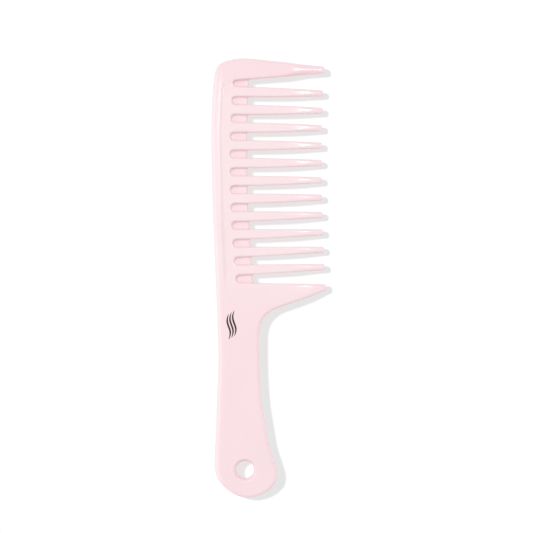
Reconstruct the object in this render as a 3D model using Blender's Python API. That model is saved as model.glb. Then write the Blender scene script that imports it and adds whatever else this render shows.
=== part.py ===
"""A wide tooth comb with a handle, lying flat.

The real comb is a single moulding. It is divided here by narrow planes into the parts that a person would
name: the handle, the spine with the webs between its tooth roots, and thirteen teeth.

+X runs from the back edge to the tooth tips, +Y from the handle to the crown, +Z through the thickness.
The origin lies under the middle of the comb's outline, on the surface that the comb rests on.
"""

import math

import bmesh
import bpy

MM = 0.001

# Thicknesses, each measured from the middle plane to one face.
HALF_THICKNESS = 3.5 * MM  # handle, back rail and guard teeth
PLATE_HALF = 3.0 * MM  # the plate behind the inner teeth, a shallow step down from the back rail
WEB_HALF = 1.1 * MM  # the webs that tie the tooth roots together
TIP_HALF = 1.0 * MM  # a tooth where its rounded tip begins
CROWN_TIP_HALF = 1.7 * MM  # the crown guard tooth stays thicker
MIDDLE_Z = HALF_THICKNESS

# Edges.
EDGE_RADIUS = 2.7 * MM  # round the outside of the handle and spine
TOOTH_EDGE_RADIUS = 1.1 * MM
TIP_LENGTH = 1.4 * MM  # the rounded end of each tooth
BACK_RAIL_WIDTH = 4.9 * MM
RECESS_CORNER = 3.0 * MM

# Where the moulding is divided.
JOINT_GAP = 0.3 * MM
HANDLE_JOINT_Y = -31.0 * MM
HEEL_ROOT_X = -1.3 * MM
STEP_CLEARANCE = 0.7 * MM  # keeps the plate's step down off the guard teeth's edges

# Teeth, counted from the crown. The first and last are the wide guard teeth.
TOOTH_COUNT = 13
CROWN, HEEL = 0, TOOTH_COUNT - 1
MIDDLE_TOOTH = 6
MIDDLE_TOOTH_Y = 53.41 * MM
MIDDLE_TOOTH_SLOPE = 0.008
GAUGE_X = -5.6 * MM  # where the pitch and the width below hold
PITCH = 9.65 * MM
PITCH_LOSS = 0.005  # the pitch lost for each unit of X, as the teeth draw together
TOOTH_HALF_WIDTH = 2.62 * MM
WIDTH_LOSS = 0.026
CROWN_TOP_Y, CROWN_TOP_SLOPE = 118.8 * MM, -0.1026
CROWN_UNDER_Y, CROWN_UNDER_SLOPE = 109.6 * MM, 0.0765
HEEL_TOP_Y, HEEL_TOP_SLOPE = -2.45 * MM, -0.015

# Shallow arcs across the teeth, as (apex x, apex y, radius): the ends of the gaps, the free edges of the
# webs, and the tooth tips.
GAP_END_ARC = (-21.15 * MM, 61.9 * MM, 589 * MM)
WEB_EDGE_ARC = (-11.9 * MM, 69.8 * MM, 772 * MM)
TIP_ARC = (29.1 * MM, 63.3 * MM, 944 * MM)

# The hanging hole.
HOLE_X, HOLE_Y = -12.95 * MM, -104.0 * MM
HOLE_RADIUS = 4.85 * MM
HOLE_LIP = 1.2 * MM

# The outline in millimetres, from the crown tooth's root round the back edge and the handle to the tip of
# the heel tooth. A smooth curve runs through these points.
SHOULDER = [(-10.9, 119.92), (-14.3, 120.0), (-18.8, 119.75), (-22.8, 118.9), (-26.4, 117.3), (-28.6, 114.9)]
BACK_EDGE = [
    (-29.55, 111), (-30.35, 104), (-30.95, 95), (-31.36, 78), (-31.0, 55), (-30.25, 30), (-29.2, 5),
    (-28.4, -13),
]
HANDLE_BACK = [(-27.85, -30), (-27.5, -44), (-28.05, -60), (-28.8, -80), (-29.5, -97)]
HANDLE_END = [
    (-29.45, -103.5), (-28.0, -108.7), (-24.25, -113.55), (-18.5, -117.65), (-11.9, -119.15),
    (-5.1, -117.85), (0.5, -114.6), (3.9, -110.3), (4.45, -105.3),
]
HANDLE_FRONT = [(3.0, -99.5), (0.2, -91), (-2.0, -79), (-4.0, -66), (-5.0, -53), (-5.35, -40)]
THROAT = [(-5.25, -30), (-4.4, -24.6), (-2.15, -20.5), (2.6, -16.9)]
HEEL_EDGE = [(9.0, -14.5), (18.0, -11.5), (25.5, -8.7), (31.4, -6.3)]
OUTLINE_POINTS = SHOULDER + BACK_EDGE + HANDLE_BACK + HANDLE_END + HANDLE_FRONT + THROAT + HEEL_EDGE
POINTS_PER_SPAN = 4

# How finely curved shapes are divided.
HOLE_SIDES = 32
HOLE_LIP_STEPS = 3
CORNER_STEPS = 3
TOOTH_STATIONS = 6
TIP_STATIONS = 3
GAP_END_STEPS = 8
WEB_EDGE_STEPS = 24
RECESS_SIDE_STEPS = 16

# Helpers reach past the parts that they cut, and a tooth's last ring stops short of its exact tip.
OUTSIDE = 12 * MM
BEYOND = 2 * MM
BLANK_RUN_ON_X = 13 * MM
RECESS_RUN_ON_X = 0.0
LAST_RING = 0.92  # of the quarter turn over the tip
EDGE_FIT = 0.95  # the most of a section's half size that its corners take
SHARP_ANGLE = 35  # degrees

PINK = (0.95, 0.76, 0.79, 1.0)
PLASTIC_ROUGHNESS = 0.22


# Curves and formulas for the plan of the comb.


def smooth_path(points, per_span):
    """A Catmull-Rom curve through the points, with per_span steps between each two of them."""
    ends = [points[0], *points, points[-1]]
    path = []
    for a, b, c, d in zip(ends, ends[1:], ends[2:], ends[3:]):
        for step in range(per_span):
            t = step / per_span
            path.append(tuple(
                0.5 * (2 * b[i] + (c[i] - a[i]) * t + (2 * a[i] - 5 * b[i] + 4 * c[i] - d[i]) * t**2
                       + (3 * b[i] - a[i] - 3 * c[i] + d[i]) * t**3)
                for i in range(2)
            ))
    path.append(tuple(points[-1]))
    return path


OUTLINE = smooth_path([(x * MM, y * MM) for x, y in OUTLINE_POINTS], POINTS_PER_SPAN)
HEEL_LOWER_EDGE = OUTLINE[POINTS_PER_SPAN * OUTLINE_POINTS.index(THROAT[2]):]
FAR_BACK_X = min(x for x, y in OUTLINE) - OUTSIDE


def on_path(path, axis, value):
    """A path's other coordinate where the coordinate `axis` has this value. Its ends run straight on."""
    for start, end in zip(path, path[1:]):
        if start[axis] <= value <= end[axis] or end[axis] <= value <= start[axis]:
            break
    share = (value - start[axis]) / (end[axis] - start[axis])
    return start[1 - axis] + share * (end[1 - axis] - start[1 - axis])


def on_arc(arc, y):
    """The X of a shallow arc that bows towards the back edge."""
    apex_x, apex_y, radius = arc
    return apex_x + (y - apex_y) ** 2 / (2 * radius)


def middle_of_tooth(tooth, x):
    pitch = PITCH - PITCH_LOSS * (x - GAUGE_X)
    return MIDDLE_TOOTH_Y + MIDDLE_TOOTH_SLOPE * (x - GAUGE_X) + (MIDDLE_TOOTH - tooth) * pitch


def tooth_half_width(x):
    return TOOTH_HALF_WIDTH - WIDTH_LOSS * max(x - GAUGE_X, 0.0)


def upper_edge(tooth, x):
    """The Y of a tooth's edge on the crown's side."""
    if tooth == CROWN:
        return CROWN_TOP_Y + CROWN_TOP_SLOPE * x
    if tooth == HEEL:
        return HEEL_TOP_Y + HEEL_TOP_SLOPE * x
    return middle_of_tooth(tooth, x) + tooth_half_width(x)


def lower_edge(tooth, x):
    """The Y of a tooth's edge on the handle's side."""
    if tooth == CROWN:
        return CROWN_UNDER_Y + CROWN_UNDER_SLOPE * x
    if tooth == HEEL:
        return on_path(HEEL_LOWER_EDGE, 0, x)
    return middle_of_tooth(tooth, x) - tooth_half_width(x)


def gap_middle(gap, x):
    """The Y half way between tooth number gap and the next one."""
    return (lower_edge(gap, x) + upper_edge(gap + 1, x)) / 2


# Shapes.


def clear_scene():
    for obj in list(bpy.data.objects):
        bpy.data.objects.remove(obj)


def pink_plastic():
    made = bpy.data.materials.new("pink_plastic")
    made.use_nodes = True
    shader = made.node_tree.nodes["Principled BSDF"]
    shader.inputs["Base Color"].default_value = PINK
    shader.inputs["Roughness"].default_value = PLASTIC_ROUGHNESS
    shader.inputs["Metallic"].default_value = 0.0
    return made


def new_collection(name):
    made = bpy.data.collections.new(name)
    bpy.context.scene.collection.children.link(made)
    return made


def flat_solid(name, outlines, low, high, rounding=0.0):
    """A mesh object of flat outlines raised from low to high, with its edges rounded inside the outline."""
    curve = bpy.data.curves.new(name, "CURVE")
    curve.dimensions = "2D"
    curve.fill_mode = "BOTH"
    curve.extrude = (high - low) / 2 - rounding
    curve.bevel_depth = rounding
    curve.bevel_resolution = 1
    curve.offset = -rounding
    for outline in outlines:
        spline = curve.splines.new("POLY")
        spline.points.add(len(outline) - 1)
        for point, (x, y) in zip(spline.points, outline):
            point.co = (x, y, 0, 1)
        spline.use_cyclic_u = True
    drawn = bpy.data.objects.new(name + "_outline", curve)
    drawn.location.z = (low + high) / 2
    bpy.context.scene.collection.objects.link(drawn)
    bpy.context.view_layer.update()
    shape = drawn.evaluated_get(bpy.context.evaluated_depsgraph_get())
    solid = bpy.data.objects.new(name, bpy.data.meshes.new_from_object(shape))
    solid.matrix_world = drawn.matrix_world
    bpy.data.objects.remove(drawn)
    weld(solid.data)
    return solid


def weld(mesh):
    """Joins a curve's loose caps to its sides and points the faces outwards."""
    shape = bmesh.new()
    shape.from_mesh(mesh)
    bmesh.ops.remove_doubles(shape, verts=shape.verts, dist=0.001 * MM)
    bmesh.ops.recalc_face_normals(shape, faces=shape.faces)
    shape.to_mesh(mesh)
    shape.free()


def loft(name, rings):
    """A closed solid through rings of equally many points."""
    shape = bmesh.new()
    rows = [[shape.verts.new(point) for point in ring] for ring in rings]
    for row, following in zip(rows, rows[1:]):
        for i in range(len(row)):
            j = (i + 1) % len(row)
            shape.faces.new((row[i], row[j], following[j], following[i]))
    shape.faces.new(rows[0])
    shape.faces.new(rows[-1])
    bmesh.ops.recalc_face_normals(shape, faces=shape.faces)
    mesh = bpy.data.meshes.new(name)
    shape.to_mesh(mesh)
    shape.free()
    return bpy.data.objects.new(name, mesh)


def show_as_part(obj, parts, material):
    obj.data.materials.clear()
    obj.data.materials.append(material)
    obj.data.shade_smooth()
    obj.data.set_sharp_from_angle(angle=math.radians(SHARP_ANGLE))
    parts.objects.link(obj)


def combine(obj, operation, cutter, cutters):
    """A live Boolean of obj with cutter, which is kept as a wire helper."""
    if cutter.name not in cutters.objects:
        cutters.objects.link(cutter)
    cutter.hide_render = True
    cutter.display_type = "WIRE"
    modifier = obj.modifiers.new(operation.lower() + "_" + cutter.name, "BOOLEAN")
    modifier.operation = operation
    modifier.object = cutter


# The parts.


def tooth_section(tooth, x, root_x, tip_x, root_half):
    """A rounded rectangle across a tooth at X, shrinking to nothing over the rounded tip."""
    along = (x - root_x) / (tip_x - root_x)
    into_tip = max(0.0, (x - (tip_x - TIP_LENGTH)) / TIP_LENGTH)
    shrink = math.sqrt(1 - into_tip**2)
    middle = (upper_edge(tooth, x) + lower_edge(tooth, x)) / 2
    half_width = (upper_edge(tooth, x) - lower_edge(tooth, x)) / 2 * shrink
    tip_half = CROWN_TIP_HALF if tooth == CROWN else TIP_HALF
    half_height = (root_half - (root_half - tip_half) * along**2) * shrink
    radius = min(TOOTH_EDGE_RADIUS, EDGE_FIT * half_width, EDGE_FIT * half_height)
    ring = []
    for corner in range(4):
        side_y = 1 if corner in (0, 3) else -1
        side_z = 1 if corner in (0, 1) else -1
        for step in range(CORNER_STEPS + 1):
            angle = (corner + step / CORNER_STEPS) * math.pi / 2
            ring.append((
                x,
                middle + side_y * (half_width - radius) + radius * math.cos(angle),
                MIDDLE_Z + side_z * (half_height - radius) + radius * math.sin(angle),
            ))
    return ring


def tooth_name(tooth):
    if tooth == CROWN:
        return "crown_guard_tooth"
    if tooth == HEEL:
        return "heel_guard_tooth"
    return f"tooth_{tooth + 1:02d}"


def tooth_root_x(tooth):
    if tooth == CROWN:
        return on_arc(WEB_EDGE_ARC, lower_edge(CROWN, GAUGE_X))
    if tooth == HEEL:
        return HEEL_ROOT_X
    return on_arc(WEB_EDGE_ARC, middle_of_tooth(tooth, GAUGE_X))


def make_tooth(tooth):
    root_x = tooth_root_x(tooth) + JOINT_GAP
    tip_y = (upper_edge(tooth, TIP_ARC[0]) + lower_edge(tooth, TIP_ARC[0])) / 2
    tip_x = on_arc(TIP_ARC, tip_y)
    root_half = HALF_THICKNESS if tooth in (CROWN, HEEL) else PLATE_HALF
    straight = tip_x - TIP_LENGTH - root_x
    stations = [root_x + straight * i / TOOTH_STATIONS for i in range(TOOTH_STATIONS + 1)]
    for i in range(1, TIP_STATIONS + 1):
        quarter = LAST_RING * math.pi / 2 * i / TIP_STATIONS
        stations.append(tip_x - TIP_LENGTH + TIP_LENGTH * math.sin(quarter))
    rings = [tooth_section(tooth, x, root_x, tip_x, root_half) for x in stations]
    return loft(tooth_name(tooth), rings)


def make_blank(name):
    """The handle and head as one rounded slab, run on past the tooth roots so that these are cut square."""
    outline = OUTLINE[: POINTS_PER_SPAN * OUTLINE_POINTS.index(HEEL_EDGE[0]) + 1]
    x = BLANK_RUN_ON_X
    outline = outline + [(x, lower_edge(HEEL, x)), (x, upper_edge(CROWN, x))]
    return flat_solid(name, [outline], 0, 2 * HALF_THICKNESS, EDGE_RADIUS)


def spine_region():
    """The spine's plan: generous outside the comb, and exact where it meets the handle and the teeth."""
    low_y, high_y = upper_edge(HEEL, HEEL_ROOT_X), lower_edge(CROWN, GAUGE_X)
    web_edge = [low_y + (high_y - low_y) * i / WEB_EDGE_STEPS for i in range(WEB_EDGE_STEPS + 1)]
    top_y = OUTLINE[0][1] + OUTSIDE
    return [
        (FAR_BACK_X, HANDLE_JOINT_Y),
        (HEEL_ROOT_X, HANDLE_JOINT_Y),
        (HEEL_ROOT_X, low_y),
        *[(on_arc(WEB_EDGE_ARC, y), y) for y in web_edge],
        (tooth_root_x(CROWN), top_y),
        (FAR_BACK_X, top_y),
    ]


def recess_outline():
    """The plate's step down in plan: from the back rail past the tooth roots, between the guard teeth."""
    high_y = lower_edge(CROWN, GAUGE_X) - STEP_CLEARANCE
    low_y = upper_edge(HEEL, GAUGE_X) + STEP_CLEARANCE
    high_x = on_path(OUTLINE, 1, high_y) + BACK_RAIL_WIDTH
    low_x = on_path(OUTLINE, 1, low_y) + BACK_RAIL_WIDTH
    outline = [(RECESS_RUN_ON_X, low_y), (RECESS_RUN_ON_X, high_y)]
    outline += quarter_turn(high_x + RECESS_CORNER, high_y - RECESS_CORNER, 1)
    for i in range(1, RECESS_SIDE_STEPS):
        y = high_y - RECESS_CORNER + (low_y - high_y + 2 * RECESS_CORNER) * i / RECESS_SIDE_STEPS
        outline.append((on_path(OUTLINE, 1, y) + BACK_RAIL_WIDTH, y))
    outline += quarter_turn(low_x + RECESS_CORNER, low_y + RECESS_CORNER, 2)
    return outline


def quarter_turn(x, y, quarter):
    """A quarter of a circle of the recess's corner radius, counted anticlockwise from +X."""
    angles = [(quarter + step / CORNER_STEPS) * math.pi / 2 for step in range(CORNER_STEPS + 1)]
    return [(x + RECESS_CORNER * math.cos(a), y + RECESS_CORNER * math.sin(a)) for a in angles]


def pocket_outline(gap):
    """The plan of a gap from its round end to just past the free edge of its web."""
    end_x = on_arc(GAP_END_ARC, gap_middle(gap, GAP_END_ARC[0]))
    mouth_x = on_arc(WEB_EDGE_ARC, gap_middle(gap, GAUGE_X)) + BEYOND
    radius = (lower_edge(gap, end_x) - upper_edge(gap + 1, end_x)) / 2
    centre_x, centre_y = end_x + radius, gap_middle(gap, end_x + radius)
    angles = [math.pi * (0.5 + step / GAP_END_STEPS) for step in range(GAP_END_STEPS + 1)]
    return [
        (mouth_x, upper_edge(gap + 1, mouth_x)),
        (mouth_x, lower_edge(gap, mouth_x)),
        *[(centre_x + radius * math.cos(a), centre_y + radius * math.sin(a)) for a in angles],
    ]


def make_spine(cutters):
    spine = make_blank("spine")
    top, bottom = 2 * HALF_THICKNESS + BEYOND, -BEYOND
    combine(spine, "INTERSECT", flat_solid("spine_region", [spine_region()], bottom, top), cutters)
    pockets = [pocket_outline(gap) for gap in range(TOOTH_COUNT - 1)]
    for side, plate_face, web_face, outside in (
        ("top", MIDDLE_Z + PLATE_HALF, MIDDLE_Z + WEB_HALF, top),
        ("bottom", MIDDLE_Z - PLATE_HALF, MIDDLE_Z - WEB_HALF, bottom),
    ):
        recess = flat_solid(
            f"recess_{side}", [recess_outline()], min(plate_face, outside), max(plate_face, outside)
        )
        combine(spine, "DIFFERENCE", recess, cutters)
        pocket = flat_solid(f"pockets_{side}", pockets, min(web_face, outside), max(web_face, outside))
        combine(spine, "DIFFERENCE", pocket, cutters)
    return spine


def hole_cutter():
    """The hanging hole with a rounded lip at each face."""
    rings = []
    for side in (-1, 1):
        for step in range(HOLE_LIP_STEPS + 1):
            angle = math.pi / 2 * step / HOLE_LIP_STEPS
            rings.append((
                HOLE_RADIUS + HOLE_LIP * (1 - math.cos(angle)),
                side * (HALF_THICKNESS - HOLE_LIP + HOLE_LIP * math.sin(angle)),
            ))
        rings.append((HOLE_RADIUS + HOLE_LIP, side * (HALF_THICKNESS + BEYOND)))
    turns = [math.tau * i / HOLE_SIDES for i in range(HOLE_SIDES)]
    return loft("hanging_hole", [
        [(HOLE_X + radius * math.cos(a), HOLE_Y + radius * math.sin(a), MIDDLE_Z + height) for a in turns]
        for radius, height in sorted(rings, key=lambda ring: ring[1])
    ])


def make_handle(cutters):
    handle = make_blank("handle")
    right_x = BLANK_RUN_ON_X + OUTSIDE
    low_y, high_y = min(y for x, y in OUTLINE) - OUTSIDE, HANDLE_JOINT_Y - JOINT_GAP
    region = [(FAR_BACK_X, low_y), (right_x, low_y), (right_x, high_y), (FAR_BACK_X, high_y)]
    keep = flat_solid("handle_region", [region], -BEYOND, 2 * HALF_THICKNESS + BEYOND)
    combine(handle, "INTERSECT", keep, cutters)
    combine(handle, "DIFFERENCE", hole_cutter(), cutters)
    return handle


def main():
    clear_scene()
    parts = new_collection("wide_tooth_comb")
    cutters = new_collection("cutters")
    plastic = pink_plastic()
    show_as_part(make_handle(cutters), parts, plastic)
    show_as_part(make_spine(cutters), parts, plastic)
    for tooth in range(TOOTH_COUNT):
        show_as_part(make_tooth(tooth), parts, plastic)


main()
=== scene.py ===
"""The looks of the wide tooth comb: one continuous moulding in glossy pink plastic, with a printed motif.

The CAD divides the comb into nodes. The real comb is one moulding, so one seamless surface stands for
them all. Its shape is a field, roughly the distance to the surface in millimetres and negative inside,
which is turned into a mesh of even quads and drawn onto the exact surface.
"""

import math

import bpy
import numpy as np
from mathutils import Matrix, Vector


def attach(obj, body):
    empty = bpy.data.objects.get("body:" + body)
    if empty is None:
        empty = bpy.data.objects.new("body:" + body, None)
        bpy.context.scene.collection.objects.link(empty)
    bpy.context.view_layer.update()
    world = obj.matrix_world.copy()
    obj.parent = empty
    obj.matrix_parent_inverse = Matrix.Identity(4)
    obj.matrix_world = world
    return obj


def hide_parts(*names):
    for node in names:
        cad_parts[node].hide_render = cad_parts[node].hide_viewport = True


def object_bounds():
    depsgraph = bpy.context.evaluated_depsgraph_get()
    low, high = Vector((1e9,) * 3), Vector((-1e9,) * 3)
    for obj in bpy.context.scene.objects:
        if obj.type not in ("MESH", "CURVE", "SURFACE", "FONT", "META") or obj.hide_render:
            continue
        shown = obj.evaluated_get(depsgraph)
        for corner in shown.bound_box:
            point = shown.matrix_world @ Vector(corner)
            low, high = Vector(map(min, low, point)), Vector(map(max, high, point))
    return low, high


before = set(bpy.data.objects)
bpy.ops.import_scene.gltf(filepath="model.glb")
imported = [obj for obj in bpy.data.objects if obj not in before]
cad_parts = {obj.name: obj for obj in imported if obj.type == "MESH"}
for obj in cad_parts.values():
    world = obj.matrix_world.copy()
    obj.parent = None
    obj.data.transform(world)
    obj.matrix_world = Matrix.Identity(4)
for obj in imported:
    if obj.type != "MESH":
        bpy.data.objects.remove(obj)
CAD_LOW, CAD_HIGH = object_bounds()

MM = 0.001

# Half thicknesses in millimetres, measured from the middle plane.
HALF_THICKNESS = (CAD_HIGH.z - CAD_LOW.z) / 2 / MM
MIDDLE_Z = (CAD_HIGH.z + CAD_LOW.z) / 2 / MM
RAIL_STEP = 0.5  # how far the plate lies below the back rail
WEB_HALF = 1.1
TIP_HALF = 1.0
CROWN_TIP_HALF = 1.7

# The roundings, as their reach inwards from the outline.
BACK_ROUNDING = 4.0
FRONT_ROUNDING = 1.5
BACK_TO_FRONT_X = (-26, -12)  # here and below, a fade starts at the first place and is whole at the second
TOOTH_ROUNDING = 0.6  # at the root, from where it grows towards the tip
TIP_ROUNDING = 1.35
CROWN_ROUNDING = 2.9
CROWN_TOP_ROUNDING = 1.2  # the least along the crown tooth's top edge
TOOTH_ROUNDING_X = (5, 25)
CROWN_ROUNDING_X = (5, 19)
WEB_ROUNDING = 0.9
DEPTH_PER_REACH = 1.2  # a rounding's depth for its reach
SQUARENESS = 2.2  # 2 is an ellipse
FILLET = 0.9

# The back rail.
RAIL_WIDTH = 4.1
RAIL_SLOPE = 1.5
RAIL_TOP_Y = (112.0, 103.0)
RAIL_FOOT_Y = (-12.0, 5.0)

# Teeth, counted from the crown. The first and last are the wide guard teeth.
# Slopes are in Y for each millimetre of X.
TOOTH_COUNT = 13
CROWN, HEEL = 0, TOOTH_COUNT - 1
MIDDLE_TOOTH = 6
MIDDLE_TOOTH_Y = 53.41
MIDDLE_TOOTH_SLOPE = 0.008
GAUGE_X = -5.6  # where the pitch and the width below hold
PITCH = 9.65
PITCH_LOSS = 0.005
TOOTH_HALF_WIDTH = 2.62
WIDTH_LOSS = 0.026
CROWN_TOP_Y, CROWN_TOP_SLOPE = 118.8, -0.1026
CROWN_UNDER_Y, CROWN_UNDER_SLOPE = 109.6, 0.0765
HEEL_TOP_Y, HEEL_TOP_SLOPE = -2.45, -0.015
TIP_LENGTH = 1.4
TAPER_START_X = 8.5
CROWN_TAPER_START_X = 12.0
TAPER_POWER = 2.0
CROWN_TAPER_POWER = 1.3
TAPER_Y = (-45, -25)  # the handle doesn't taper

# Shallow arcs across the teeth, as (apex x, apex y, radius).
GAP_END_ARC = (-21.15, 61.9, 589)
WEB_EDGE_ARC = (-11.9, 69.8, 772)
TIP_ARC = (29.1, 63.3, 944)
WEB_OVERLAP = 1.5  # how far the webs run into the plate and the guard teeth

# The hanging hole.
HOLE_X, HOLE_Y = -12.95, -104.0
HOLE_RADIUS = 4.85
HOLE_ROUNDING = 1.3
HOLE_SQUARENESS = 1.25

# The outline, from the crown tooth's root round the back edge and the handle to the tip of the heel tooth.
# A smooth curve runs through these points.
SHOULDER = [(-10.9, 119.92), (-14.3, 120.0), (-18.8, 119.75), (-22.8, 118.9), (-26.4, 117.3), (-28.6, 114.9)]
BACK_EDGE = [(-29.55, 111), (-30.35, 104), (-30.95, 95), (-31.36, 78), (-31.0, 55), (-30.25, 30), (-29.2, 5),
             (-28.4, -13)]
HANDLE_BACK = [(-27.85, -30), (-27.5, -44), (-28.05, -60), (-28.8, -80), (-29.5, -97)]
HANDLE_END = [
    (-29.45, -103.5), (-28.0, -108.7), (-24.25, -113.55), (-18.5, -117.65), (-11.9, -119.15),
    (-5.1, -117.85), (0.5, -114.6), (3.9, -110.3), (4.45, -105.3),
]
HANDLE_FRONT = [(3.0, -99.5), (0.2, -91), (-2.0, -79), (-4.0, -66), (-5.0, -53), (-5.35, -40)]
THROAT = [(-5.25, -30), (-4.4, -24.6), (-2.15, -20.5), (2.6, -16.9)]
HEEL_EDGE = [(9.0, -14.5), (18.0, -11.5), (25.5, -8.7), (31.4, -6.3)]

# How finely the mesh is made.
GRID_STEP = 0.525
POINTS_PER_SPAN = 10
ARC_STEPS = 20
RELAXING_ROUNDS = 3
RELAXING_SHARE = 0.5  # of the way to the mean of a point's neighbours
SURFACE_STEPS = 2  # steps onto the exact surface after each round
LONGEST_STEP = 0.3
BAND_DEPTH = 8.0  # points are measured in bands this deep along Y
BAND_MARGIN = 7.0
BATCH = 4000  # points measured at once

# The printed motif.
MOTIF_X, MOTIF_Y = -20.3, -25.2
STRAND_COUNT = 3
STRAND_STEPS = 48
STRAND_LENGTH = 14.0
STRAND_SPACING = 1.5
STRAND_RISE = 0.6  # how much higher each strand stands than the last, as a share of the spacing
STRAND_SWAY = 0.85
STRAND_HALF_WIDTH = 0.5
STRAND_END_HALF_WIDTH = 0.02
STRAND_FULLNESS = 0.6  # less than 1 keeps a strand wide nearly to its ends
INK_THICKNESS = 0.02

# Colours.
PINK_FACE = ((0.925, 0.75, 0.774, 1), (0.935, 0.764, 0.786, 1))
# Painted shade: the thicker crown and handle let less light through than the thin plate, so they get a darker
# copy of the pink.
PINK_THICK_SHADE = ((0.925, 0.712, 0.747, 1), (0.935, 0.726, 0.759, 1))
# Painted light: the side walls' deeper pink stands in for light that passes into the plastic and comes out
# more saturated.
PINK_PAINTED_SIDE_LIGHT = (1.0, 0.70, 0.735, 1)
CROWN_SHADE_Y = (98, 112)
HANDLE_SHADE_Y = (0, -16)
HANDLE_SHADE_SHARE = 0.7  # how far the handle's painted shade goes from the face's tone to the shaded one
SIDE_UPWARDNESS = (0.75, 0.15)  # how much a side wall's normal points up or down
DARK_INK = ((0.016, 0.006, 0.014, 1), (0.035, 0.014, 0.028, 1))
FLOOR_WHITE = (0.2, 0.2, 0.2, 1)  # dark for a white floor, because most of its brightness is its glow
SIDE_LIGHT = (0.97, 0.95, 1.0)

# Surfaces.
PINK_IOR = 1.5
PINK_ROUGHNESS = (0.15, 0.19)
PEEL_STRENGTH = 0.03
PEEL_DEPTH = 0.0001  # metres
INK_ROUGHNESS = 0.45
FLOOR_GLOW = 0.68
NOISE_MIDDLE = (0.3, 0.7)  # where most of a noise's values lie

# The picture.
VIEW_WIDTH = 290.7  # millimetres across the picture at the comb's middle plane
VIEW_X, VIEW_Y = -1.27, 6.68
LENS_MM = 135
SENSOR_MM = 36
FLOOR_HALF_SIZE = 3.0  # metres, as are the lights' places and sizes
FLOOR_DROP = 0.0002  # metres


# ------------------------------------------------------------------------------- the plan of the comb


def smooth_step(t):
    t = np.clip(t, 0, 1)
    return t * t * (3 - 2 * t)


def fade(value, places):
    """0 at the first place and 1 at the second, easing in and out."""
    start, whole = places
    return smooth_step((value - start) / (whole - start))


def on_arc(arc, y):
    """The X of a shallow arc that bows towards the back edge."""
    apex_x, apex_y, radius = arc
    return apex_x + (y - apex_y) ** 2 / (2 * radius)


def smooth_path(points):
    """A Catmull-Rom curve through the points."""
    points = np.array([points[0], *points, points[-1]], float)
    t = np.arange(POINTS_PER_SPAN)[:, None] / POINTS_PER_SPAN
    spans = [
        0.5 * (2 * b + (c - a) * t + (2 * a - 5 * b + 4 * c - d) * t**2 + (3 * b - a - 3 * c + d) * t**3)
        for a, b, c, d in zip(points, points[1:], points[2:], points[3:])
    ]
    return np.vstack([*spans, points[-1:]])


OUTER_PATH = smooth_path(
    SHOULDER + BACK_EDGE + HANDLE_BACK + HANDLE_END + HANDLE_FRONT + THROAT + HEEL_EDGE
)
BACK_PATH = smooth_path(SHOULDER + BACK_EDGE + HANDLE_BACK)[::-1]
HEEL_PATH = smooth_path(THROAT + HEEL_EDGE)[POINTS_PER_SPAN:]


def tooth_middle(tooth, x):
    pitch = PITCH - PITCH_LOSS * (x - GAUGE_X)
    return MIDDLE_TOOTH_Y + MIDDLE_TOOTH_SLOPE * (x - GAUGE_X) + (MIDDLE_TOOTH - tooth) * pitch


def tooth_half_width(x):
    return TOOTH_HALF_WIDTH - WIDTH_LOSS * np.maximum(x - GAUGE_X, 0)


def upper_edge(tooth, x):
    """The Y of a tooth's edge on the crown's side."""
    if tooth == CROWN:
        return CROWN_TOP_Y + CROWN_TOP_SLOPE * x
    if tooth == HEEL:
        return HEEL_TOP_Y + HEEL_TOP_SLOPE * x
    return tooth_middle(tooth, x) + tooth_half_width(x)


def lower_edge(tooth, x):
    """The Y of a tooth's edge on the handle's side."""
    if tooth == CROWN:
        return CROWN_UNDER_Y + CROWN_UNDER_SLOPE * x
    if tooth == HEEL:
        return np.interp(x, HEEL_PATH[:, 0], HEEL_PATH[:, 1])
    return tooth_middle(tooth, x) - tooth_half_width(x)


def tip_x(tooth):
    x = TIP_ARC[0]
    return on_arc(TIP_ARC, (upper_edge(tooth, x) + lower_edge(tooth, x)) / 2)


def with_rounding(points, rounding):
    """Adds the rounding's reach to plan points as a third column."""
    points = np.asarray(points, float)
    return np.column_stack([points, np.broadcast_to(rounding, len(points))])


def nose(tooth):
    """A tooth's rounded tip, from its lower edge round to its upper edge."""
    start_x = tip_x(tooth) - TIP_LENGTH
    low, high = lower_edge(tooth, start_x), upper_edge(tooth, start_x)
    turn = np.linspace(-math.pi / 2, math.pi / 2, ARC_STEPS)
    x = start_x + TIP_LENGTH * np.cos(turn)
    y = (low + high) / 2 + (high - low) / 2 * np.sin(turn)
    return with_rounding(np.column_stack([x, y]), min(TIP_ROUNDING, (high - low) / 2))


def gap_outline(gap):
    """A gap's edge, from the tip of the tooth below it, round the gap's end and out to the tooth above."""
    end_x = on_arc(GAP_END_ARC, (lower_edge(gap, GAP_END_ARC[0]) + upper_edge(gap + 1, GAP_END_ARC[0])) / 2)
    radius = (lower_edge(gap, end_x) - upper_edge(gap + 1, end_x)) / 2
    centre_x = end_x + radius
    centre_y = (lower_edge(gap, centre_x) + upper_edge(gap + 1, centre_x)) / 2
    turn = np.linspace(1.5 * math.pi, 0.5 * math.pi, ARC_STEPS)
    arc = np.column_stack([centre_x + radius * np.cos(turn), centre_y + radius * np.sin(turn)])
    share = np.linspace(0, 1, ARC_STEPS)[:-1]
    x_below = tip_x(gap + 1) - TIP_LENGTH + (centre_x - tip_x(gap + 1) + TIP_LENGTH) * share
    x_above = tip_x(gap) - TIP_LENGTH + (centre_x - tip_x(gap) + TIP_LENGTH) * share
    below = np.column_stack([x_below, upper_edge(gap + 1, x_below)])
    above = np.column_stack([x_above, lower_edge(gap, x_above)])[::-1]
    return np.vstack([
        with_rounding(below, side_rounding(gap + 1, x_below)),
        with_rounding(arc, TOOTH_ROUNDING),
        with_rounding(above, side_rounding(gap, x_above[::-1])),
    ])


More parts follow.
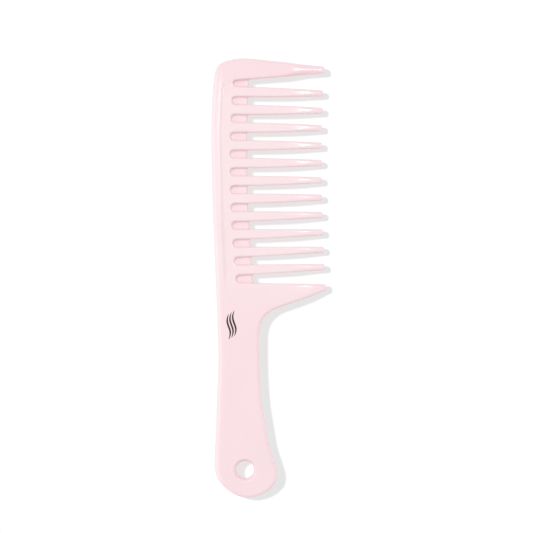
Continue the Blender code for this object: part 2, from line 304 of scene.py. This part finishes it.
def side_rounding(tooth, x):
    """The rounding along the side of a tooth: slight at the root and full towards the tip."""
    half_width = (upper_edge(tooth, x) - lower_edge(tooth, x)) / 2
    broad, places = (CROWN_ROUNDING, CROWN_ROUNDING_X) if tooth == CROWN else (TIP_ROUNDING, TOOTH_ROUNDING_X)
    return np.minimum(TOOTH_ROUNDING + (broad - TOOTH_ROUNDING) * fade(x, places), half_width)


def outer_outline():
    """The outline from the crown tooth's top edge, round the back and the handle, to the heel tooth's tip."""
    x, y = OUTER_PATH[OUTER_PATH[:, 0] <= tip_x(HEEL) - TIP_LENGTH].T
    at_heel = (x > THROAT[1][0]) & (y > THROAT[1][1]) & (y < 0)
    front = np.where(at_heel, np.minimum((upper_edge(HEEL, x) - y) / 2, FRONT_ROUNDING), FRONT_ROUNDING)
    rounding = BACK_ROUNDING + (front - BACK_ROUNDING) * fade(x, BACK_TO_FRONT_X)
    return with_rounding(np.column_stack([x, y]), rounding)


def crown_top():
    """The crown tooth's top edge, from its tip back to the shoulder."""
    x = np.linspace(tip_x(CROWN) - TIP_LENGTH, SHOULDER[0][0], ARC_STEPS)[1:-1]
    rounding = np.maximum(side_rounding(CROWN, x), CROWN_TOP_ROUNDING)
    return with_rounding(np.column_stack([x, upper_edge(CROWN, x)]), rounding)


def comb_outline():
    """The whole outline, with each point's rounding."""
    parts = [outer_outline(), nose(HEEL)]
    for gap in reversed(range(TOOTH_COUNT - 1)):
        parts += [gap_outline(gap)[1:-1], nose(gap)]
    parts.append(crown_top())
    return np.vstack(parts)


OUTLINE = comb_outline()


def measure_band(x, y, starts, ends):
    """The distance outside the outline's edges, negative within, and the rounding at the nearest point."""
    edge = ends - starts
    to_x = x[:, None] - starts[:, 0]
    to_y = y[:, None] - starts[:, 1]
    share = (to_x * edge[:, 0] + to_y * edge[:, 1]) / (edge[:, 0] ** 2 + edge[:, 1] ** 2)
    share = np.clip(share, 0, 1)
    away = (to_x - share * edge[:, 0]) ** 2 + (to_y - share * edge[:, 1]) ** 2
    nearest = away.argmin(1)
    rows = np.arange(len(x))
    rounding = starts[nearest, 2] + share[rows, nearest] * edge[nearest, 2]
    straddles = (starts[:, 1] <= y[:, None]) != (ends[:, 1] <= y[:, None])
    with np.errstate(divide="ignore", invalid="ignore"):
        crossing = starts[:, 0] + to_y * edge[:, 0] / edge[:, 1]
    within = (straddles & (crossing > x[:, None])).sum(1) % 2 == 1
    distance = np.sqrt(away[rows, nearest])
    return np.where(within, -distance, distance), rounding


def measure_plan(x, y):
    """The distance outside the comb's outline at each point, with its rounding's reach and squareness."""
    starts, ends = OUTLINE, np.roll(OUTLINE, -1, 0)
    low, high = np.minimum(starts[:, 1], ends[:, 1]), np.maximum(starts[:, 1], ends[:, 1])
    distance, rounding = np.empty(len(x)), np.empty(len(x))
    band = np.floor(y / BAND_DEPTH).astype(int)
    for number in np.unique(band):
        rows = np.flatnonzero(band == number)
        band_low = number * BAND_DEPTH - BAND_MARGIN
        near = (low < band_low + BAND_DEPTH + 2 * BAND_MARGIN) & (high > band_low)
        for some in np.array_split(rows, 1 + len(rows) // BATCH):
            distance[some], rounding[some] = measure_band(x[some], y[some], starts[near], ends[near])
    hole = HOLE_RADIUS - np.hypot(x - HOLE_X, y - HOLE_Y)
    at_hole = hole > distance
    return (
        np.maximum(distance, hole),
        np.where(at_hole, HOLE_ROUNDING, rounding),
        np.where(at_hole, HOLE_SQUARENESS, SQUARENESS),
    )


# -------------------------------------------------------------------------------- the moulding's field


def half_thickness(x, y):
    """Half the comb's thickness, away from its rounded edges."""
    from_back = x - np.interp(y, BACK_PATH[:, 1], BACK_PATH[:, 0])
    step = RAIL_STEP * np.clip((from_back - RAIL_WIDTH) / RAIL_SLOPE, 0, 1) ** 2
    step = step * fade(y, RAIL_TOP_Y) * fade(y, RAIL_FOOT_Y)
    at_crown = y > (lower_edge(CROWN, x) + upper_edge(CROWN + 1, x)) / 2
    start = np.where(at_crown, CROWN_TAPER_START_X, TAPER_START_X)
    power = np.where(at_crown, CROWN_TAPER_POWER, TAPER_POWER)
    tip = np.where(at_crown, CROWN_TIP_HALF, TIP_HALF)
    reach = np.clip((x - start) / (on_arc(TIP_ARC, y) - start), 0, 1) * fade(y, TAPER_Y)
    root = HALF_THICKNESS - step
    return root - (root - tip) * reach**power


def rounded_slab(outside, z, half, reach, depth, squareness=SQUARENESS):
    """Roughly the distance outside a slab whose edge is rounded by a superellipse of this reach and depth."""
    across = np.maximum(1 + outside / reach, 0)
    up = np.maximum(1 + (np.abs(z) - half) / depth, 0)
    size = (across**squareness + up**squareness) ** (1 / squareness)
    size = np.maximum(size, 1e-6)
    gradient = np.hypot(
        (across / size) ** (squareness - 1) / reach, (up / size) ** (squareness - 1) / depth
    )
    return (size - 1) / np.maximum(gradient, 1 / np.maximum(reach, depth))


def blend_together(a, b, radius):
    """The union of two fields with a fillet between them."""
    share = np.maximum(radius - np.abs(a - b), 0) / radius
    return np.minimum(a, b) - share**2 * radius / 4


def moulding(x, y, z, plan):
    """The comb's field at height z above the middle plane."""
    outside, rounding, squareness = plan
    half = half_thickness(x, y)
    depth = np.minimum(half, rounding * DEPTH_PER_REACH)
    comb = rounded_slab(outside, z, half, rounding, depth, squareness)
    past_edge = x - on_arc(WEB_EDGE_ARC, y)
    web = rounded_slab(past_edge, z, WEB_HALF, WEB_ROUNDING, WEB_HALF)
    behind = on_arc(GAP_END_ARC, y) - WEB_OVERLAP - x
    above = y - lower_edge(CROWN, x) - WEB_OVERLAP
    below = upper_edge(HEEL, x) - WEB_OVERLAP - y
    web = np.maximum(web, np.maximum(behind, np.maximum(above, below)))
    return blend_together(comb, web, FILLET)


# ------------------------------------------------------------------------------------- making the mesh


def surface_net(field, low, step):
    """Even quads where the field changes sign: one vertex in each cell that the surface passes through."""
    inside = field < 0
    cells = np.array(field.shape) - 1
    corners = np.zeros(cells, np.int8)
    for i, j, k in np.ndindex(2, 2, 2):
        corners += inside[i:i + cells[0], j:j + cells[1], k:k + cells[2]]
    active = (corners > 0) & (corners < 8)
    number = np.full(cells, -1)
    number[active] = np.arange(active.sum())
    total, count = np.zeros((active.sum(), 3)), np.zeros(active.sum())
    quads = []
    for axis in range(3):
        first, second = (np.take(field, range(s, field.shape[axis] - 1 + s), axis) for s in (0, 1))
        at = np.argwhere((first < 0) != (second < 0))
        f0, f1 = first[tuple(at.T)], second[tuple(at.T)]
        crossing = at.astype(float)
        crossing[:, axis] += f0 / (f0 - f1)
        u, v = (axis + 1) % 3, (axis + 2) % 3
        round_edge = []
        for du, dv in ((0, 0), (-1, 0), (-1, -1), (0, -1)):
            cell = at.copy()
            cell[:, u] += du
            cell[:, v] += dv
            index = number[tuple(cell.T)]
            np.add.at(total, index, crossing)
            np.add.at(count, index, 1)
            round_edge.append(index)
        quad = np.column_stack(round_edge)
        quads.append(np.where((f0 < 0)[:, None], quad, quad[:, ::-1]))
    return low + total / count[:, None] * step, np.vstack(quads)


def neighbour_mean(points, quads):
    """The mean of each vertex's neighbours along the quads' edges."""
    total, count = np.zeros_like(points), np.zeros(len(points))
    for a, b in ((0, 1), (1, 2), (2, 3), (3, 0)):
        for one, other in ((a, b), (b, a)):
            for axis in range(3):
                total[:, axis] += np.bincount(quads[:, one], points[quads[:, other], axis], len(points))
            count += np.bincount(quads[:, one], minlength=len(points))
    return total / count[:, None]


def vertex_normals(points, quads):
    """The unit normal at each vertex, from the quads round it, each counted by its area."""
    corners = points[quads]
    across = np.cross(corners[:, 2] - corners[:, 0], corners[:, 3] - corners[:, 1])
    normals = np.zeros_like(points)
    for corner in range(4):
        for axis in range(3):
            normals[:, axis] += np.bincount(quads[:, corner], across[:, axis], len(points))
    return normals / np.linalg.norm(normals, axis=1)[:, None]


def move_onto_surface(points, normals):
    """The points moved along their normals to where the field is nothing."""
    for _ in range(SURFACE_STEPS):
        x, y, z = points.T
        distance = moulding(x, y, z, measure_plan(x, y))
        points = points - normals * np.clip(distance, -LONGEST_STEP, LONGEST_STEP)[:, None]
    return points


def make_moulding():
    """The field sampled on a grid, meshed, evened out and drawn onto the surface."""
    margin = 2 * GRID_STEP
    low = np.array([*(np.array(CAD_LOW.xy) / MM - margin), -HALF_THICKNESS - margin])
    high = np.array([*(np.array(CAD_HIGH.xy) / MM + margin), HALF_THICKNESS + margin])
    x, y, z = (np.arange(a, b + GRID_STEP, GRID_STEP) for a, b in zip(low, high))
    z -= (z[0] + z[-1]) / 2
    low[2] = z[0]
    plan_x, plan_y = (part.ravel() for part in np.meshgrid(x, y, indexing="ij"))
    plan = measure_plan(plan_x, plan_y)
    tall = [part[:, None] for part in (plan_x, plan_y, *plan)]
    field = moulding(tall[0], tall[1], z[None, :], tall[2:])
    points, quads = surface_net(field.reshape(len(x), len(y), len(z)), low, GRID_STEP)
    for _ in range(RELAXING_ROUNDS):
        normals = vertex_normals(points, quads)
        drift = neighbour_mean(points, quads) - points
        drift -= normals * (drift * normals).sum(1)[:, None]
        points = move_onto_surface(points + RELAXING_SHARE * drift, normals)
    points = move_onto_surface(points, vertex_normals(points, quads))
    points[:, 2] += MIDDLE_Z
    return mesh_object("comb_moulding", points * MM, quads)


def mesh_object(name, points, faces):
    mesh = bpy.data.meshes.new(name)
    mesh.from_pydata(points.tolist(), [], np.asarray(faces).tolist())
    mesh.shade_smooth()
    made = bpy.data.objects.new(name, mesh)
    bpy.context.scene.collection.objects.link(made)
    return made


# ----------------------------------------------------------------------------------- the printed motif


def make_motif():
    """Waving strands of hair as a film of ink on the throat, each tapering to a point at both ends."""
    points, faces = [], []
    top = MIDDLE_Z + HALF_THICKNESS + INK_THICKNESS
    for strand in range(STRAND_COUNT):
        across = (strand - (STRAND_COUNT - 1) / 2) * STRAND_SPACING
        for step in range(STRAND_STEPS + 1):
            t = step / STRAND_STEPS
            y = MOTIF_Y + (t - 0.5) * STRAND_LENGTH + across * STRAND_RISE
            x = MOTIF_X + across + STRAND_SWAY * math.sin(2 * math.pi * t)
            half = STRAND_HALF_WIDTH * math.sin(math.pi * t) ** STRAND_FULLNESS + STRAND_END_HALF_WIDTH
            points += [(x - half, y, top), (x + half, y, top)]
            if step:
                n = len(points)
                faces.append((n - 4, n - 3, n - 1, n - 2))
    motif = mesh_object("printed_motif", np.array(points) * MM, faces)
    thick = motif.modifiers.new("film", "SOLIDIFY")
    thick.thickness = 2 * INK_THICKNESS * MM
    thick.offset = -1
    return motif


# ----------------------------------------------------------------------------------------- materials


def new_material(name):
    made = bpy.data.materials.new(name)
    made.use_nodes = True
    return made, made.node_tree.nodes, made.node_tree.links, made.node_tree.nodes["Principled BSDF"]


def noise(nodes, links, coordinates, scale, detail):
    made = nodes.new("ShaderNodeTexNoise")
    made.inputs["Scale"].default_value = scale
    made.inputs["Detail"].default_value = detail
    links.new(coordinates, made.inputs["Vector"])
    return made.outputs["Fac"]


def ramp(nodes, links, value, start, end, low=0.0, high=1.0):
    """The value carried from the range start..end to low..high, and held beyond it."""
    made = nodes.new("ShaderNodeMapRange")
    made.inputs["From Min"].default_value = start
    made.inputs["From Max"].default_value = end
    made.inputs["To Min"].default_value = low
    made.inputs["To Max"].default_value = high
    links.new(value, made.inputs["Value"])
    return made.outputs["Result"]


def spread(nodes, links, value, low=0.0, high=1.0):
    """Noise, which gathers round its middle, carried to low..high."""
    return ramp(nodes, links, value, *NOISE_MIDDLE, low, high)


def mixed_colour(nodes, links, share, first, second):
    made = nodes.new("ShaderNodeMix")
    made.data_type = "RGBA"
    links.new(share, made.inputs[0])  # the first socket is the factor, and 6, 7 and 2 are the colours
    for socket, colour in ((6, first), (7, second)):
        if isinstance(colour, tuple):
            made.inputs[socket].default_value = colour
        else:
            links.new(colour, made.inputs[socket])
    return made.outputs[2]


def split_axes(nodes, links, vector):
    made = nodes.new("ShaderNodeSeparateXYZ")
    links.new(vector, made.inputs[0])
    return made.outputs


def calculate(nodes, links, operation, *values):
    made = nodes.new("ShaderNodeMath")
    made.operation = operation
    for socket, value in zip(made.inputs, values):
        links.new(value, socket)
    return made.outputs[0]


def pink_plastic():
    """Glossy moulded plastic: faint cloudiness in the colour, an uneven polish and a slight orange peel.

    The side walls are painted a deeper pink, standing in for the light that enters a pale plastic and deepens
    them.
    """
    made, nodes, links, shader = new_material("pink_plastic")
    place = nodes.new("ShaderNodeTexCoord").outputs["Object"]
    shader.inputs["IOR"].default_value = PINK_IOR

    cloud = noise(nodes, links, place, scale=60, detail=3)
    face = mixed_colour(nodes, links, spread(nodes, links, cloud), *PINK_FACE)
    # Painted shade: a darker copy of the pink for the thicker crown and handle, which let less light through
    # than the thin plate.
    thick_shaded_pink = mixed_colour(nodes, links, spread(nodes, links, cloud), *PINK_THICK_SHADE)
    y = split_axes(nodes, links, place)["Y"]
    at_crown = ramp(nodes, links, y, *(at * MM for at in CROWN_SHADE_Y))
    handle_shade = ramp(nodes, links, y, *(at * MM for at in HANDLE_SHADE_Y), 0.0, HANDLE_SHADE_SHARE)
    thick_shade_share = calculate(nodes, links, "MAXIMUM", at_crown, handle_shade)
    upper = mixed_colour(nodes, links, thick_shade_share, face, thick_shaded_pink)

    # Painted light: walls whose normal points sideways get a deeper, more saturated pink, standing in for
    # light passing through the plastic.
    normal = nodes.new("ShaderNodeNewGeometry").outputs["Normal"]
    upwardness = calculate(nodes, links, "ABSOLUTE", split_axes(nodes, links, normal)["Z"])
    painted_side_light = ramp(nodes, links, upwardness, *SIDE_UPWARDNESS)
    links.new(mixed_colour(nodes, links, painted_side_light, upper, PINK_PAINTED_SIDE_LIGHT), shader.inputs["Base Color"])

    polish = noise(nodes, links, place, scale=350, detail=4)
    links.new(spread(nodes, links, polish, *PINK_ROUGHNESS), shader.inputs["Roughness"])

    peel = noise(nodes, links, place, scale=900, detail=2)
    bump = nodes.new("ShaderNodeBump")
    bump.inputs["Strength"].default_value = PEEL_STRENGTH
    bump.inputs["Distance"].default_value = PEEL_DEPTH
    links.new(peel, bump.inputs["Height"])
    links.new(bump.outputs["Normal"], shader.inputs["Normal"])
    return made


def dark_ink():
    """Pad-printed ink with a slightly uneven film."""
    made, nodes, links, shader = new_material("dark_ink")
    place = nodes.new("ShaderNodeTexCoord").outputs["Object"]
    grain = noise(nodes, links, place, scale=1800, detail=2)
    tint = mixed_colour(nodes, links, spread(nodes, links, grain), *DARK_INK)
    links.new(tint, shader.inputs["Base Color"])
    shader.inputs["Roughness"].default_value = INK_ROUGHNESS
    return made


# ------------------------------------------------------------------------------------ floor and light


def make_floor():
    """A white table whose glow keeps the shadow pale, as on a lit studio sweep."""
    half = FLOOR_HALF_SIZE
    corners = [(-half, -half), (half, -half), (half, half), (-half, half)]
    floor = mesh_object("floor", np.array([(x, y, -FLOOR_DROP) for x, y in corners]), [(0, 1, 2, 3)])
    made, nodes, links, shader = new_material("white_table")
    shader.inputs["Base Color"].default_value = FLOOR_WHITE
    shader.inputs["Roughness"].default_value = 1.0
    shader.inputs["Specular IOR Level"].default_value = 0.0
    shader.inputs["Emission Color"].default_value = (1, 1, 1, 1)
    shader.inputs["Emission Strength"].default_value = FLOOR_GLOW
    floor.data.materials.append(made)
    return floor


def add_light(receivers, name, kind, energy, location, aim):
    """A light that shines only on the receivers."""
    data = bpy.data.lights.new(name, kind)
    data.energy = energy
    made = bpy.data.objects.new(name, data)
    made.location = location
    made.rotation_euler = (Vector(aim) - Vector(location)).to_track_quat("-Z", "Y").to_euler()
    bpy.context.scene.collection.objects.link(made)
    lit = bpy.data.collections.new(name + "_receivers")
    for piece in receivers:
        lit.objects.link(piece)
    made.light_linking.receiver_collection = lit
    return made


def add_sun(receivers, name, energy, direction, spread_degrees):
    made = add_light(receivers, name, "SUN", energy, direction, (0, 0, 0))
    made.data.angle = math.radians(spread_degrees)
    return made


def add_softbox(receivers, name, energy, location, aim, size):
    made = add_light(receivers, name, "AREA", energy, location, aim)
    made.data.shape = "RECTANGLE"
    made.data.size, made.data.size_y = size
    return made


def add_world(strength):
    world = bpy.data.worlds.new("studio")
    world.use_nodes = True
    background = world.node_tree.nodes["Background"]
    background.inputs["Color"].default_value = (1, 1, 1, 1)
    background.inputs["Strength"].default_value = strength
    bpy.context.scene.world = world


def light_scene(floor, comb, motif):
    """One sun casts the floor's shadow. The other lights shine on the comb alone."""
    add_world(strength=0.475)
    add_sun([floor], "shadow_key", 5.2, direction=(-0.80, 0.38, 1.0), spread_degrees=7)

    pieces = [comb, motif]
    key = add_sun(pieces, "comb_key", 1.08, direction=(-0.15, 0.35, 1.0), spread_degrees=50)
    key.visible_glossy = False
    add_softbox(pieces, "streak_strip", 0.75, (0.216, 0.19, 0.9), aim=(0.02, 0.19, 0.0), size=(0.14, 0.07))
    for name, energy, x, y in (("back_softbox", 2.6, -0.8, -0.2), ("tooth_softbox", 1.3, 0.8, -0.05)):
        side = add_softbox(pieces, name, energy, (x, y, 0.3), aim=(-0.02, -0.05, 0.0), size=(1.2, 0.5))
        side.data.color = SIDE_LIGHT
    add_softbox(pieces, "crest_strip", 0.38, (-0.18, 0.16, 0.9), aim=(-0.02, 0.16, 0.0), size=(0.10, 0.05))


def make_camera():
    """A camera straight above, as in the photo."""
    data = bpy.data.cameras.new("camera")
    data.lens = LENS_MM
    data.sensor_width = SENSOR_MM
    camera = bpy.data.objects.new("camera", data)
    distance = VIEW_WIDTH * LENS_MM / SENSOR_MM
    camera.location = (VIEW_X * MM, VIEW_Y * MM, (MIDDLE_Z + distance) * MM)
    bpy.context.scene.collection.objects.link(camera)
    bpy.context.scene.camera = camera


def main():
    comb = make_moulding()
    comb.data.materials.append(pink_plastic())
    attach(comb, "root")
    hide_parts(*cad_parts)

    motif = make_motif()
    motif.data.materials.append(dark_ink())
    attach(motif, "root")

    light_scene(make_floor(), comb, motif)
    make_camera()
    bpy.context.scene.view_settings.view_transform = "Standard"


main()
